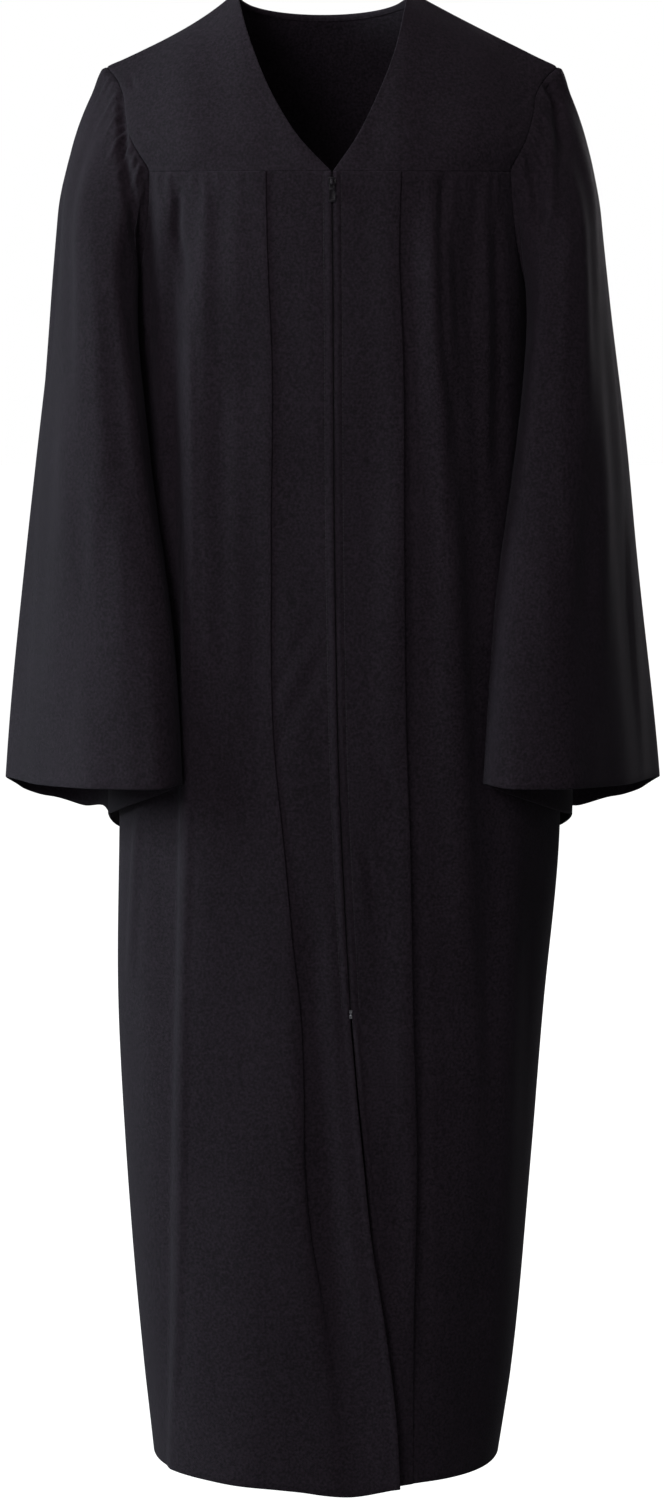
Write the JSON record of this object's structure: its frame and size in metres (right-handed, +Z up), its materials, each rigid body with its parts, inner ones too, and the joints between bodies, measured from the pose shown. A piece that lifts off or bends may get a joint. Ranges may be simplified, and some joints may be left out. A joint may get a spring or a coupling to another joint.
{
  "type": "choir robe",
  "caption": "Full-length black choir robe with a V neck, yoke, centre-front zip, pressed front pleats and wide bell sleeves, hollow and hanging as worn.",
  "frame": {"origin": "on the centre line at the height of the neck points, where the wearer's shoulders hold the robe up", "axes": "+Z up along the robe's length, -Y out of its front, +X towards the wearer's left, in metres"},
  "size_m": [0.6209, 0.3202, 1.3725],
  "materials": {
    "black_polyester": "matte black woven polyester",
    "zip_tape": "black woven tape",
    "zip_teeth": "black nylon coil",
    "black_enamel": "black enamelled metal",
    "nickel": "dull nickel plate"
  },
  "bodies": {
    "robe": {"yoke_front_right": "black_polyester", "yoke_front_left": "black_polyester", "yoke_back": "black_polyester", "front_right": "black_polyester", "front_left": "black_polyester", "back": "black_polyester", "sleeve_right": "black_polyester", "sleeve_left": "black_polyester", "zip_tape_right": "zip_tape", "zip_tape_left": "zip_tape", "zip_chain": "zip_teeth", "zip_slider": "black_enamel", "zip_bottom_stop": "nickel"},
    "pull_tab": {"zip_pull_tab": "black_enamel"}
  },
  "joints": [
    {"name": "pull_tab_swing", "type": "hinge", "parent": "robe", "child": "pull_tab", "pos_m": [0.00009, -0.12631, -0.17606], "axis": [-1, 0, 0], "range_deg": [0, 160]}
  ]
}
